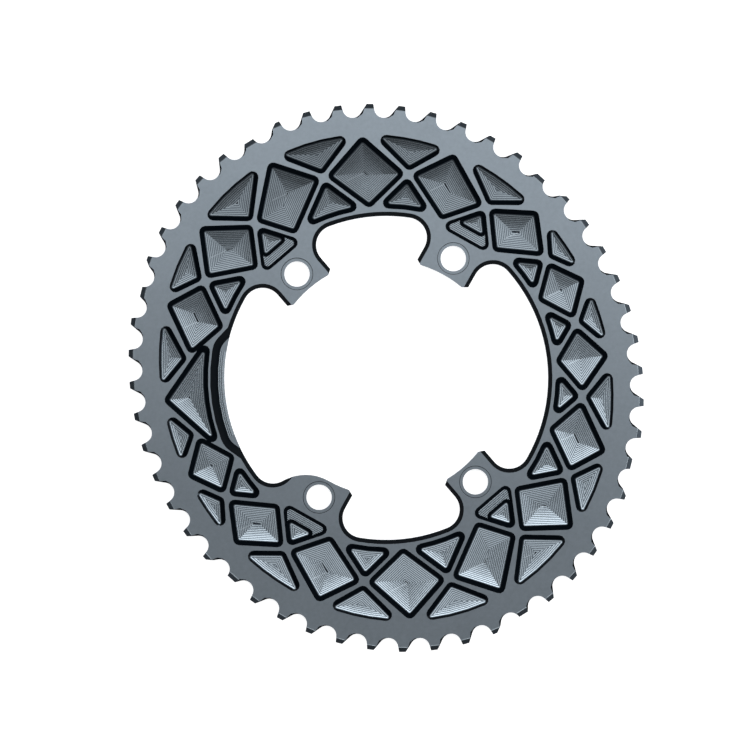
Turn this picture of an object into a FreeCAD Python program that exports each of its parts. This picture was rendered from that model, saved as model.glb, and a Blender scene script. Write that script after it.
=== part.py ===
import FreeCAD, Part

import math
import os
from types import SimpleNamespace

import Sketcher
from FreeCAD import Rotation, Vector

# Oval outer chainring for a double crankset, machined from one plate.
# Frame: the bolt circle's centre is the origin, the back face lies on Z = 0 and +Z points to the outer face.
# +Y halves the narrow pair of bolt holes. Lengths are in millimetres and angles in degrees, from +X towards +Y.

SIZES = [
    ("tooth_count", 52, "teeth on the ring"),
    ("chain_pitch", 12.7, "half-inch chain, roller to roller"),
    ("ovality", 1.1, "long over short axis of the oval that the rollers lie on"),
    ("long_axis_angle", 108.6, "direction of the oval's long axis"),
    ("first_gap_angle", 111.4, "direction of the roller that the walk round the oval starts from"),
    ("seat_radius", 3.9, "roller seat between two teeth"),
    ("leading_flank_angle", 10, "driving flank, from the tooth's centre line"),
    ("trailing_flank_angle", 33, "free flank, from the tooth's centre line"),
    ("tip_height", 1.75, "tooth tip above the line between its two rollers"),
    ("shift_tip_drop", 1.75, "how much lower the shift gates' short teeth are"),
    ("gate_tip_width", 1.75, "land left on the tooth after a short one"),
    ("gate_tip_angle", 47, "slope cut on that tooth's free side, from its centre line"),
    ("tip_bevel_height", 1.85, "bevel on the outer side of a tooth, along the tooth"),
    ("tip_bevel_depth", 0.7, "the same bevel, through the tooth"),
    ("back_bevel_height", 1.2, "bevel on the inner side of a tooth, along the tooth"),
    ("back_bevel_depth", 0.45, "the same bevel, through the tooth"),
    ("relief_shift", 0.95, "how far the free flank's crescent lies from the roller's centre"),
    ("relief_depth", 1.0, "depth of that crescent"),
    ("ring_thickness", 4.6, "web, from back face to outer face"),
    ("tooth_thickness", 2.1, "toothed band, flush with the outer face"),
    ("web_margin", 3.0, "from the tooth roots in to the web's step on the back"),
    ("web_edge_bevel", 0.8, "bevel round that step"),
    ("bolt_circle", 110, "diameter of the circle of chainring bolts"),
    ("bolt_half_angle", 35, "each bolt hole's direction from +Y or -Y"),
    ("bolt_hole", 10.2, "bolt hole diameter"),
    ("bolt_seat", 12.6, "counterbore for the bolt's head, diameter"),
    ("bolt_seat_depth", 0.5, "depth of the counterbore"),
    ("opening_radius", 65.1, "inner edge of the ring between the tabs"),
    ("tab_radius", 47.4, "hollow end of the tabs"),
    ("tab_fillet", 8.0, "round between a tab's side and the inner edge"),
    ("tab_tip_blunt", 0.4, "flat left on a tab's corner at the outer face"),
    ("tab_tip_rise", 1.3, "height of the cut across a tab's corner"),
    ("lobe_radius", 18.6, "round bulge that takes the place of one tab's side"),
    ("wall_angle", 39, "pocket walls and bevels, from the ring's axis"),
    ("edge_bevel", 1.6, "width of the bevel along the inner edge"),
    ("notch_radius", 70.7, "crank arm notch at the outer face"),
    ("notch_end_angle", 17.3, "half the angle that the notch takes up"),
    ("notch_end_slope", 41, "direction of the notch's ends, from its middle line"),
    ("notch_round", 9.5, "corner round of the notch at the outer face"),
    ("notch_open_round", 4.0, "corner round of the notch's cutter inside the opening"),
    ("notch_overlap", 15.0, "how far the notch's cutter reaches into the opening"),
    ("notch_floor", 0.8, "ledge left under the notch"),
    ("notch_land", 0.8, "land between the notch and the pocket behind it"),
    ("pocket_depth", 2.3, "depth of the pocket walls"),
    ("corner_depth", 3.5, "depth at which the pocket walls' round corners would close to points"),
    ("rim_wall_share", 0.4, "width of the outer pockets' rim walls, as a share of the other walls'"),
    ("step_depth", 1.2, "depth of the upper level in the pockets beside the tabs"),
    ("floor_slope", 8, "slope of the pocket floors towards their middle"),
    ("corner_radius", 2.4, "pocket corners at the outer face"),
    ("strut_width", 1.2, "land left on the struts between pockets"),
    ("rim_width", 6.7, "land from the tooth roots to the outer pockets"),
    ("rail_width", 1.2, "land between the inner edge's bevel and the inner pockets"),
    ("bolt_land", 8.4, "from the bolt holes' centre out to the pocket behind them"),
    ("step_width", 4.9, "upper level of that pocket, at the outer face"),
    ("spider_seat_radius", 61, "recess on the back of the tabs for the crank's arms"),
    ("spider_seat_depth", 1.2, "depth of that recess"),
    ("ramp_radius", 16, "radius of the shift ramps cut into the web's back edge"),
    ("ramp_bite", 5.0, "how far the shift ramps reach into the web"),
    ("ramp_depth", 1.6, "depth of the shift ramps"),
    ("pin_inset", 5.0, "from the tooth roots in to the shift pins' centres"),
    ("pin_diameter", 3.2, "diameter of a shift pin, a press fit"),
    ("pin_proud", 1.1, "how far a shift pin stands out of its ramp"),
    ("pin_sunk", 1.6, "how far it's pressed in"),
]

SHIFT_ANGLES = (47.1, 114.8, 154.7)

# One row for each diamond pocket of the upper half, clockwise: direction of its outer corner, direction of its
# inner corner, how far that corner reaches inside the inner rail, direction of the crossing that follows it,
# how far out that crossing lies between rail and rim, and how much the struts on the anticlockwise and the
# clockwise side of its outer corner widen there. The lower half is the same, turned by half a turn.
LATTICE_COLUMNS = (
    "rim_angle", "rail_angle", "rail_reach", "cross_angle", "cross_share", "flare_before", "flare_after",
)
LATTICE = (
    (112.8, 116.6, 0.3, 101.7, 0.53, 2.0, 1.3),
    (90.0, 90.0, 0.0, 78.2, 0.51, 1.8, 1.6),
    (67.4, 65.2, 1.2, 54.0, 0.48, 1.3, 2.2),
    (42.0, 44.2, 1.8, 31.0, 0.56, 1.0, 1.4),
    (20.8, 21.6, 0.0, 10.6, 0.52, 0.4, 1.6),
    (0.2, 0.0, 0.0, -11.1, 0.48, 0.7, 1.7),
    (-24.2, -23.1, 0.0, -33.7, 0.54, 1.5, 0.9),
    (-44.6, -46.2, 0.8, -55.2, 0.45, 1.3, 1.2),
)
TAB_POCKETS = (3, 8)
NOTCH_DIAMOND = 14
HALF_TURN = 180.0

# Half the width of each tab on its anticlockwise and its clockwise side, clockwise from the upper left tab.
# The last tab bulges towards the notch instead.
TABS = ((11.3, 11.5), (12.4, 10.9), (11.0, 10.1), (11.3, None))
LOBED_TAB = 4

HALF_CIRCLE = "Sizes.bolt_circle / 2"
HALF_ANGLE = "Sizes.bolt_half_angle * 1 deg"

# Cutters start this far outside the face they cut, so that no two faces coincide.
OVERSHOOT = 0.3

# Pocket rounds and the teeth's crescents are made of flats, to keep the ring's mesh small. This is the largest
# distance between a flat and its round, and the nearest that two points lie before they count as one.
FLAT_SAG = 0.1
CLOSE = 1e-6
RELIEF_FLATS = 10


def add_sheet(doc):
    """The spreadsheet of driving dimensions, one named cell each."""
    sheet = doc.addObject("Spreadsheet::Sheet", "Sizes")
    rows = list(SIZES)
    for number, angle in enumerate(SHIFT_ANGLES, 1):
        rows.append((f"shift_angle_{number}", angle, "direction of a short tooth"))
    for number, (before, after) in enumerate(TABS, 1):
        rows.append((f"tab_before_{number}", before, "half width of a tab, anticlockwise side"))
        if number != LOBED_TAB:
            rows.append((f"tab_after_{number}", after, "half width of a tab, clockwise side"))
    for number, values in enumerate(LATTICE, 1):
        for column, value in zip(LATTICE_COLUMNS, values):
            rows.append((f"{column}_{number}", value, "lattice of the web"))
    for line, (name, value, meaning) in enumerate(rows, 1):
        sheet.set(f"A{line}", meaning)
        sheet.set(f"B{line}", str(value))
        sheet.setAlias(f"B{line}", name)
    doc.recompute()
    return SimpleNamespace(**{name: float(sheet.get(name)) for name, _, _ in rows})


def polar(radius, angle, height=0.0):
    """Point at a radius and direction."""
    turn = math.radians(angle)
    return Vector(radius * math.cos(turn), radius * math.sin(turn), height)


def direction_of(point):
    """Direction of a point from the ring's centre, in degrees."""
    return math.degrees(math.atan2(point.y, point.x))


class Oval:
    """An ellipse about the ring's centre, with its long axis at a given direction."""

    def __init__(self, semi_long, semi_short, angle):
        self.semi_long = semi_long
        self.semi_short = semi_short
        self.angle = angle

    def at(self, parameter):
        """Point at the ellipse's own angle parameter, in radians."""
        flat = Vector(self.semi_long * math.cos(parameter), self.semi_short * math.sin(parameter), 0)
        return Rotation(Vector(0, 0, 1), self.angle).multVec(flat)

    def parameter(self, direction):
        """The angle parameter of the point that lies in a direction."""
        turn = math.radians(direction - self.angle)
        return math.atan2(self.semi_long * math.sin(turn), self.semi_short * math.cos(turn))

    def towards(self, direction):
        """Point of the oval in a direction."""
        return self.at(self.parameter(direction))

    def grown(self, distance):
        """The oval that lies a distance outside this one."""
        return Oval(self.semi_long + distance, self.semi_short + distance, self.angle)

    def wire(self, height):
        """Closed wire of the oval at a height."""
        long_end = self.at(0)
        short_end = self.at(math.pi / 2)
        curve = Part.Ellipse(long_end, short_end, Vector(0, 0, 0))
        wire = Part.Wire([curve.toShape()])
        wire.translate(Vector(0, 0, height))
        return wire


def flat_faces(*corners):
    """One flat face through three or four corners, or two where four of them aren't level with each other."""
    points = []
    for corner in corners:
        if not points or corner.distanceToPoint(points[-1]) > CLOSE:
            points.append(corner)
    if points[0].distanceToPoint(points[-1]) < CLOSE:
        points.pop()
    if len(points) < 3:
        return []
    normal = (points[1] - points[0]).cross(points[2] - points[0]).normalize()
    if len(points) == 3 or abs(normal.dot(points[3] - points[0])) < CLOSE:
        return [Part.Face(Part.makePolygon(points + points[:1]))]
    return flat_faces(*points[:3]) + flat_faces(points[2], points[3], points[0])


def side_walls(upper, lower):
    """Faces between two closed rows of points, pair by pair."""
    faces = []
    for index in range(len(upper)):
        faces += flat_faces(upper[index - 1], upper[index], lower[index], lower[index - 1])
    return faces


def end_face(points):
    """Flat face within a closed row of points."""
    return Part.Face(Part.makePolygon(points + points[:1]))


def closed_solid(faces):
    """One solid within faces that meet."""
    shell = Part.Shell(faces)
    shell.sewShape()
    solid = Part.Solid(shell)
    if solid.Volume < 0:
        solid.reverse()
    return solid


def bisect(low, high, is_low):
    """Value between low and high at which a test that holds at low stops holding."""
    for _ in range(60):
        middle = (low + high) / 2
        if is_low(middle):
            low = middle
        else:
            high = middle
    return low


def next_parameter(oval, parameter, pitch):
    """Walk clockwise round the oval by one chord."""
    start = oval.at(parameter)
    reach = 2 * pitch / oval.semi_short
    step = bisect(0, reach, lambda turn: oval.at(parameter - turn).distanceToPoint(start) < pitch)
    return parameter - step


def roller_walk(size, semi_short):
    """Parameters of the rollers on an oval of a given short half-axis, and where the last chord ends."""
    oval = Oval(size.ovality * semi_short, semi_short, size.long_axis_angle)
    places = [oval.parameter(size.first_gap_angle)]
    for _ in range(int(size.tooth_count)):
        places.append(next_parameter(oval, places[-1], size.chain_pitch))
    return oval, places


def pitch_oval(size):
    """The oval on which whole chain pitches close, and the rollers' centres on it, clockwise."""
    round_radius = size.tooth_count * size.chain_pitch / (2 * math.pi)

    def overlaps(semi_short):
        _, places = roller_walk(size, semi_short)
        return places[0] - places[-1] > 2 * math.pi

    semi_short = bisect(round_radius / 2, round_radius * 2, overlaps)
    oval, places = roller_walk(size, semi_short)
    return oval, [oval.at(place) for place in places[:-1]]


class Tooth:
    """One tooth's own frame: origin midway between two rollers, x clockwise along the chain, y outwards."""

    def __init__(self, size, before, after):
        self.middle = (before + after) / 2
        self.direction = direction_of(self.middle)
        self.along = (after - before).normalize()
        self.out = Vector(-self.along.y, self.along.x, 0)
        self.half_pitch = size.chain_pitch / 2
        self.tip = size.tip_height
        self.cut_land = None

    def point(self, x, y, z=0.0):
        """Point of this frame in the ring's frame."""
        return self.middle + self.along * x + self.out * y + Vector(0, 0, z)

    def flanks(self, size):
        """Where the two straight flanks leave the roller seats, and where they meet the tip."""
        trail = math.radians(size.trailing_flank_angle)
        lead = math.radians(size.leading_flank_angle)
        radius = size.seat_radius
        trail_foot = (radius * math.cos(trail) - self.half_pitch, -radius * math.sin(trail))
        lead_foot = (self.half_pitch - radius * math.cos(lead), -radius * math.sin(lead))
        trail_tip = trail_foot[0] + (self.tip - trail_foot[1]) * math.tan(trail)
        lead_tip = lead_foot[0] - (self.tip - lead_foot[1]) * math.tan(lead)
        return trail_foot, trail_tip, lead_foot, lead_tip

    def outline(self, size):
        """Corner points from one roller seat to the next."""
        trail_foot, trail_tip, lead_foot, lead_tip = self.flanks(size)
        points = [trail_foot]
        if self.cut_land is None:
            points.append((trail_tip, self.tip))
        else:
            land_start = lead_tip - self.cut_land
            flank = math.tan(math.radians(size.trailing_flank_angle))
            slope = math.tan(math.radians(size.gate_tip_angle))
            drop = (land_start - trail_tip) / (slope - flank)
            points.append((land_start - drop * slope, self.tip - drop))
            points.append((land_start, self.tip))
        points += [(lead_tip, self.tip), lead_foot]
        return [self.point(x, y) for x, y in points]


def make_teeth(size, rollers):
    """All teeth in clockwise order, with the shift gates' short and narrowed ones."""
    count = len(rollers)
    teeth = [Tooth(size, rollers[i], rollers[(i + 1) % count]) for i in range(count)]
    for gate in shift_directions(size):
        short = min(range(count), key=lambda i: abs((teeth[i].direction - gate + 180) % 360 - 180))
        teeth[short].tip = size.tip_height - size.shift_tip_drop
        teeth[(short + 1) % count].cut_land = size.gate_tip_width
    return teeth


def shift_directions(size):
    """Directions of the short teeth, round the whole ring."""
    upper = [getattr(size, f"shift_angle_{number}") for number in range(1, len(SHIFT_ANGLES) + 1)]
    return upper + [angle + HALF_TURN for angle in upper]


def toothed_plate(size, rollers, teeth):
    """The toothed band as a solid plate, before its teeth are bevelled."""
    edges = []
    count = len(teeth)
    for index, tooth in enumerate(teeth):
        before = teeth[(index - 1) % count]
        roller = rollers[index]
        inward = (before.out + tooth.out).normalize() * -size.seat_radius
        seat_start = before.outline(size)[-1]
        corners = tooth.outline(size)
        edges.append(Part.Arc(seat_start, roller + inward, corners[0]).toShape())
        for start, end in zip(corners, corners[1:]):
            edges.append(Part.LineSegment(start, end).toShape())
    face = Part.Face(Part.Wire(edges))
    face.translate(Vector(0, 0, size.ring_thickness - size.tooth_thickness))
    return face.extrude(Vector(0, 0, size.tooth_thickness))


def tip_wedge(tooth, height, depth, face, side):
    """Wedge that bevels one tooth's tip on the side that faces along side * Z."""
    over = 2 * OVERSHOOT
    low = tooth.tip - height
    high = tooth.tip + over
    sunk = face - side * depth * (high - low) / height
    clear = face + side * over
    width = 0.8 * tooth.half_pitch
    corners = [(low, face), (high, sunk), (high, clear), (low, clear)]
    points = [tooth.point(-width, y, z) for y, z in corners]
    wire = Part.makePolygon(points + points[:1])
    return Part.Face(wire).extrude(tooth.along * (2 * width))


def tooth_bevels(size, teeth):
    """The wedges that bevel every tooth's tip on both sides."""
    outer = size.ring_thickness
    inner = size.ring_thickness - size.tooth_thickness
    wedges = []
    for tooth in teeth:
        wedges.append(tip_wedge(tooth, size.tip_bevel_height, size.tip_bevel_depth, outer, 1))
        wedges.append(tip_wedge(tooth, size.back_bevel_height, size.back_bevel_depth, inner, -1))
    return Part.makeCompound(wedges)


def flank_reliefs(size, rollers, teeth):
    """Shallow cones that leave a crescent on each tooth's free flank, on the outer side."""
    cones = []
    small = size.seat_radius + OVERSHOOT / 6 - size.relief_depth
    height = size.relief_depth + OVERSHOOT
    for roller, tooth in zip(rollers, teeth):
        base = roller + tooth.along * size.relief_shift
        base.z = size.ring_thickness - size.relief_depth
        turns = [direction_of(tooth.along) + 360 * step / RELIEF_FLATS for step in range(RELIEF_FLATS)]
        lower = [base + polar(small, turn) for turn in turns]
        upper = [base + polar(small + height, turn, height) for turn in turns]
        cones.append(closed_solid([end_face(upper), *side_walls(upper, lower), end_face(lower)]))
    return Part.makeCompound(cones)


def web_disc(size, root):
    """The thick web behind the toothed band, up to the band's back."""
    edge = root.grown(-size.web_margin)
    height = size.ring_thickness - size.tooth_thickness
    disc = Part.Face(edge.wire(0)).extrude(Vector(0, 0, height))
    rim = [item for item in disc.Edges if item.BoundBox.ZMax < height / 2]
    return disc.makeChamfer(size.web_edge_bevel, rim)


class Line:
    """A straight pocket side through two points, with the pocket on its left."""

    def __init__(self, start, end):
        self.start = start
        self.along = (end - start).normalize()
        self.left = Vector(-self.along.y, self.along.x, 0)

    def inset(self, distance):
        """The same side, moved into the pocket."""
        start = self.start + self.left * distance
        return Line(start, start + self.along)

    def foot(self, point):
        """Nearest point of this side."""
        return self.start + self.along * (point - self.start).dot(self.along)

    def flats(self, start, end, count=1):
        """Points that split this side into equal flats."""
        return [start + (end - start) * (step / count) for step in range(count + 1)]


class Bow:
    """A round pocket side, with the pocket inside or outside its circle."""

    def __init__(self, centre, radius, inside):
        self.centre = centre
        self.radius = radius
        self.inside = inside

    def inset(self, distance):
        """The same side, moved into the pocket."""
        return Bow(self.centre, self.radius - distance if self.inside else self.radius + distance, self.inside)

    def foot(self, point):
        """Nearest point of this side."""
        return self.centre + (point - self.centre).normalize() * self.radius

    def flats(self, start, end, count=None):
        """Points that split this side into equal flats."""
        first = direction_of(start - self.centre)
        turn = (direction_of(end - self.centre) - first + 180) % 360 - 180
        if count is None:
            count = math.ceil(abs(turn) / math.degrees(2 * math.acos(1 - FLAT_SAG / self.radius)))
        return [self.centre + polar(self.radius, first + turn * step / count) for step in range(count + 1)]


def meet(first, second, near):
    """Where two sides cross, the crossing nearest to a point."""
    if isinstance(first, Bow):
        first, second = second, first
    if isinstance(second, Line):
        gap = second.start - first.start
        cross = first.along.x * second.along.y - first.along.y * second.along.x
        reach = (gap.x * second.along.y - gap.y * second.along.x) / cross
        return first.start + first.along * reach
    foot = first.foot(second.centre)
    half = math.sqrt(second.radius ** 2 - foot.distanceToPoint(second.centre) ** 2)
    ends = [foot + first.along * half, foot - first.along * half]
    return min(ends, key=near.distanceToPoint)


class Pocket:
    """A pocket with sloping walls, whose corners are round at the face and would close to points further down.

    Its sides run anticlockwise. A rough corner point, and the corner's radius, belong to the end of each side.
    Each station is a place where the walls have an edge, as its points at the face and at that closing depth.
    """

    def __init__(self, size, sides, corners, radii, closing_depth, wall_shares=None):
        shares = wall_shares or [1] * len(sides)
        self.top = size.ring_thickness
        self.closing_depth = closing_depth
        self.sides = sides
        closing_sides = [side.inset(closing_depth * taper(size) * share) for side, share in zip(sides, shares)]
        rounds = []
        points = []
        for index, side in enumerate(sides):
            after = (index + 1) % len(sides)
            radius = radii[index]
            centre = meet(side.inset(radius), sides[after].inset(radius), corners[index])
            corner = Bow(centre, radius, True)
            rounds.append(corner.flats(side.foot(centre), sides[after].foot(centre)))
            points.append(meet(closing_sides[index], closing_sides[after], corners[index]))
        self.stations = []
        for index, side in enumerate(sides):
            upper = side.flats(rounds[index - 1][-1], rounds[index][0])
            lower = closing_sides[index].flats(points[index - 1], points[index], len(upper) - 1)
            self.stations += zip(upper, lower)
            self.stations += [(place, points[index]) for place in rounds[index][1:-1]]

    def row(self, depth):
        """The stations' points at a depth."""
        share = 1 - depth / self.closing_depth
        height = Vector(0, 0, self.top - depth)
        return [low + (high - low) * share + height for high, low in self.stations]

    def clearance(self, point):
        """Distance from a point inside the pocket to its nearest side."""
        return min(side.foot(point).distanceToPoint(point) for side in self.sides)

    def deepest(self):
        """The point that lies furthest from every side."""
        lows = [low for _, low in self.stations]
        point = sum(lows, Vector(0, 0, 0)) / len(lows)
        step = self.clearance(point) / 2
        while step > FLAT_SAG:
            tries = [point + polar(step, turn) for turn in range(0, 360, 30)]
            best = max(tries, key=self.clearance)
            if self.clearance(best) > self.clearance(point):
                point = best
            else:
                step /= 2
        return point

    def flat_cutter(self, depth):
        """Solid that cuts the pocket down to a flat floor."""
        upper = self.row(-OVERSHOOT)
        lower = self.row(depth)
        return closed_solid([end_face(upper), *side_walls(upper, lower), end_face(lower)])

    def sunk_cutter(self, size):
        """Solid that cuts the pocket's walls, and a floor that falls from them to one point."""
        upper = self.row(-OVERSHOOT)
        edge = self.row(size.pocket_depth)
        point = self.deepest()
        run = self.clearance(point) - size.pocket_depth * taper(size)
        fall = run * math.tan(math.radians(size.floor_slope))
        low = point + Vector(0, 0, self.top - size.pocket_depth - fall)
        floors = []
        for index in range(len(edge)):
            floors += flat_faces(edge[index - 1], edge[index], low)
        return closed_solid([end_face(upper), *side_walls(upper, edge), *floors])


def taper(size):
    """How far a pocket wall or bevel comes in for each millimetre of depth."""
    return math.tan(math.radians(size.wall_angle))


def lattice_row(number):
    """The lattice row of a diamond pocket, counted clockwise round the whole ring."""
    return (number - 1) % len(LATTICE) + 1


def lattice_value(size, column, number):
    """A lattice value for a diamond pocket of the whole ring."""
    return getattr(size, f"{column}_{lattice_row(number)}")


def lattice(size, rim, rail):
    """Rim, rail and crossing points of the whole ring, numbered from 1, clockwise."""
    rims, rails, crossings = {}, {}, {}
    half = len(LATTICE)
    for number in range(1, 2 * half + 1):
        turn = 0.0 if number <= half else HALF_TURN
        rim_angle = lattice_value(size, "rim_angle", number) + turn
        rail_angle = lattice_value(size, "rail_angle", number) + turn
        cross_angle = lattice_value(size, "cross_angle", number) + turn
        share = lattice_value(size, "cross_share", number)
        reach = lattice_value(size, "rail_reach", number)
        rims[number] = rim.grown(size.strut_width / 2).towards(rim_angle)
        rails[number] = polar(rail - size.strut_width / 2 - reach, rail_angle)
        outer = rim.towards(cross_angle).Length
        crossings[number] = polar(rail + share * (outer - rail), cross_angle)
    return rims, rails, crossings


def rail_radius(size):
    """Radius at which the inner pockets start."""
    return size.opening_radius + size.edge_bevel + size.rail_width


def strut_side(size, start, end, start_flare=0, end_flare=0):
    """The edge of a strut that runs from start to end, with the pocket on its left."""
    left = Line(start, end).left
    half = size.strut_width / 2
    return Line(start + left * (half + start_flare), end + left * (half + end_flare))


def bow_through(first, second, third, inside):
    """A round side through three points."""
    circle = Part.Circle(first, second, third)
    return Bow(circle.Center, circle.Radius, inside)


def web_pocket(size, sides, corners, wall_shares=None):
    """A pocket with the web's usual corners."""
    return Pocket(size, sides, corners, [size.corner_radius] * len(sides), size.corner_depth, wall_shares)


def diamond(size, rim_point, left, rail_point, right):
    """A four-sided pocket between two crossings, the rim and the inner rail."""
    corners = [left, rail_point, right, rim_point]
    starts = [rim_point, left, rail_point, right]
    sides = [strut_side(size, start, end) for start, end in zip(starts, corners)]
    return web_pocket(size, sides, corners)


def rim_triangle(size, rim, crossing, right, left, flares):
    """A three-sided pocket along the rim, between struts that widen towards the rim."""
    first = direction_of(right)
    spread = ((direction_of(left) - first) % 360) / 2
    ends = [rim.towards(first + step * spread) for step in range(3)]
    sides = [
        strut_side(size, crossing, right, 0, flares[0]),
        bow_through(*ends, True),
        strut_side(size, left, crossing, flares[1], 0),
    ]
    return web_pocket(size, sides, [right, left, crossing], (1, size.rim_wall_share, 1))


def inner_triangle(size, crossing, left, right, inner_side):
    """A three-sided pocket between two struts and a side on the ring's inner edge."""
    sides = [strut_side(size, crossing, left), inner_side, strut_side(size, right, crossing)]
    corners = [meet(sides[0], inner_side, left), meet(inner_side, sides[2], right), crossing]
    return web_pocket(size, sides, corners)


def tab_side_line(hole_angle, distance):
    """A pocket side square to a bolt hole's direction, with the pocket on its outer side."""
    foot = polar(distance, hole_angle)
    return Line(foot, foot + polar(1, hole_angle - 90))


def hole_directions(size):
    """Directions of the four bolt holes, clockwise from the upper left one."""
    half = size.bolt_half_angle
    return [90 + half, 90 - half, half - 90, 270 - half]


def nearest_hole(size, point):
    """Direction of the bolt hole that lies nearest to a point."""
    return min(hole_directions(size), key=lambda angle: polar(point.Length, angle).distanceToPoint(point))


def web_pockets(size, root):
    """Cutters of all pockets. Those beside the tabs have two levels."""
    rim = root.grown(-size.rim_width)
    rail = rail_radius(size)
    rims, rails, crossings = lattice(size, rim, rail)
    count = len(rims)
    rail_side = Bow(Vector(0, 0, 0), rail, False)
    notch_side = Bow(Vector(0, 0, 0), size.notch_radius + size.notch_land, False)
    cutters = []
    for number in range(1, count + 1):
        before = crossings[number - 1 or count]
        crossing = crossings[number]
        following = number % count + 1
        ends = rails[number], rails[following]
        if number == NOTCH_DIAMOND:
            pocket = inner_triangle(size, rims[number], before, crossing, notch_side)
        else:
            pocket = diamond(size, rims[number], before, rails[number], crossing)
        cutters.append(pocket.sunk_cutter(size))
        flares = lattice_value(size, "flare_before", following), lattice_value(size, "flare_after", number)
        outer = rim_triangle(size, rim, crossing, rims[following], rims[number], flares)
        cutters.append(outer.sunk_cutter(size))
        if lattice_row(number) in TAB_POCKETS:
            hole = nearest_hole(size, crossing)
            start = size.bolt_circle / 2 + size.bolt_land
            second = start + size.step_width - size.step_depth * taper(size)
            level = inner_triangle(size, crossing, *ends, tab_side_line(hole, start))
            sunk = inner_triangle(size, crossing, *ends, tab_side_line(hole, second))
            cutters.append(level.flat_cutter(size.step_depth).fuse(sunk.sunk_cutter(size)))
        elif NOTCH_DIAMOND not in (number, following):
            cutters.append(inner_triangle(size, crossing, *ends, rail_side).sunk_cutter(size))
    return cutters


def arm_notch(size):
    """Cutter for the crank arm notch, open towards the middle."""
    origin = Vector(0, 0, 0)
    middle = HALF_TURN
    ends = [polar(size.notch_radius, middle + turn * size.notch_end_angle) for turn in (1, -1)]
    back = middle + HALF_TURN
    slopes = [polar(1, back - turn * size.notch_end_slope) for turn in (1, -1)]
    first = Line(ends[0], ends[0] + slopes[0])
    last = Line(ends[1] + slopes[1], ends[1])
    inner_foot = polar(size.opening_radius - size.notch_overlap, middle)
    open_side = Line(inner_foot, inner_foot + polar(1, middle - 90))
    sides = [Bow(origin, size.notch_radius, True), first, open_side, last]
    corners = [ends[0], meet(first, open_side, origin), meet(open_side, last, origin), ends[1]]
    radii = [size.notch_round, size.notch_open_round, size.notch_open_round, size.notch_round]
    pocket = Pocket(size, sides, corners, radii, size.notch_round / taper(size))
    return pocket.flat_cutter(size.ring_thickness - size.notch_floor)


class TabSide:
    """One side of a bolt tab, in the frame of its bolt hole: r outwards, s clockwise."""

    def __init__(self, size, hole, width, sign, growth):
        self.hole = hole
        cut = bevel_reach(size) + size.tab_tip_blunt
        shoulder = sign * (width - cut)
        low = math.sqrt(size.tab_radius ** 2 - shoulder ** 2)
        share = (cut - growth) / cut
        flank = sign * (width - growth)
        middle_s = sign * (width + size.tab_fillet)
        middle_r = math.sqrt((size.opening_radius - size.tab_fillet) ** 2 - middle_s ** 2)
        centre = self.point(middle_r, middle_s)
        radius = size.tab_fillet + growth
        self.arc_end = self.point(low, shoulder)
        self.flank_start = self.point(low + size.tab_tip_rise * share, flank)
        self.flank_end = self.point(middle_r, flank)
        self.ring_end = polar(size.opening_radius + growth, direction_of(centre))
        chord = (self.flank_end + self.ring_end) / 2 - centre
        self.fillet_middle = centre + chord.normalize() * radius

    def point(self, r, s):
        """Point of the bolt hole's frame in the ring's frame."""
        return polar(r, self.hole) + polar(s, self.hole - 90)

    def edges(self):
        """Edges from the tab's end to the ring's inner edge."""
        return [
            (self.arc_end, self.flank_start),
            (self.flank_start, self.flank_end),
            (self.flank_end, self.fillet_middle, self.ring_end),
        ]


class LobeSide:
    """The bulging side of the tab beside the crank arm notch."""

    def __init__(self, size, hole, growth):
        bulge = size.lobe_radius
        far = size.tab_radius + bulge
        reach = size.opening_radius - size.tab_fillet
        apart = bulge + size.tab_fillet
        turn = math.degrees(math.acos((far ** 2 + reach ** 2 - apart ** 2) / (2 * far * reach)))
        centre = polar(far, hole)
        fillet = polar(reach, hole - turn)
        radius = size.tab_fillet + growth
        along = (apart ** 2 + bulge ** 2 - radius ** 2) / (2 * apart)
        aside = math.sqrt(max(bulge ** 2 - along ** 2, 0))
        axis = (fillet - centre).normalize()
        across = Vector(-axis.y, axis.x, 0)
        self.arc_end = polar(size.tab_radius, hole)
        ends = [centre + axis * along + across * aside, centre + axis * along - across * aside]
        self.lobe_end = min(ends, key=self.arc_end.distanceToPoint)
        self.lobe_middle = centre + ((self.arc_end + self.lobe_end) / 2 - centre).normalize() * bulge
        self.ring_end = polar(size.opening_radius + growth, hole - turn)
        self.fillet_middle = fillet + ((self.lobe_end + self.ring_end) / 2 - fillet).normalize() * radius

    def edges(self):
        """Edges from the tab's end to the ring's inner edge."""
        return [
            (self.arc_end, self.lobe_middle, self.lobe_end),
            (self.lobe_end, self.fillet_middle, self.ring_end),
        ]


def bevel_reach(size):
    """Width that the inner bevel's cutter has where it leaves the outer face."""
    return size.edge_bevel + OVERSHOOT * taper(size)


def curve(points):
    """Edge through two points, or round through three."""
    if len(points) == 2:
        return Part.LineSegment(*points).toShape()
    return Part.Arc(*points).toShape()


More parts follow.
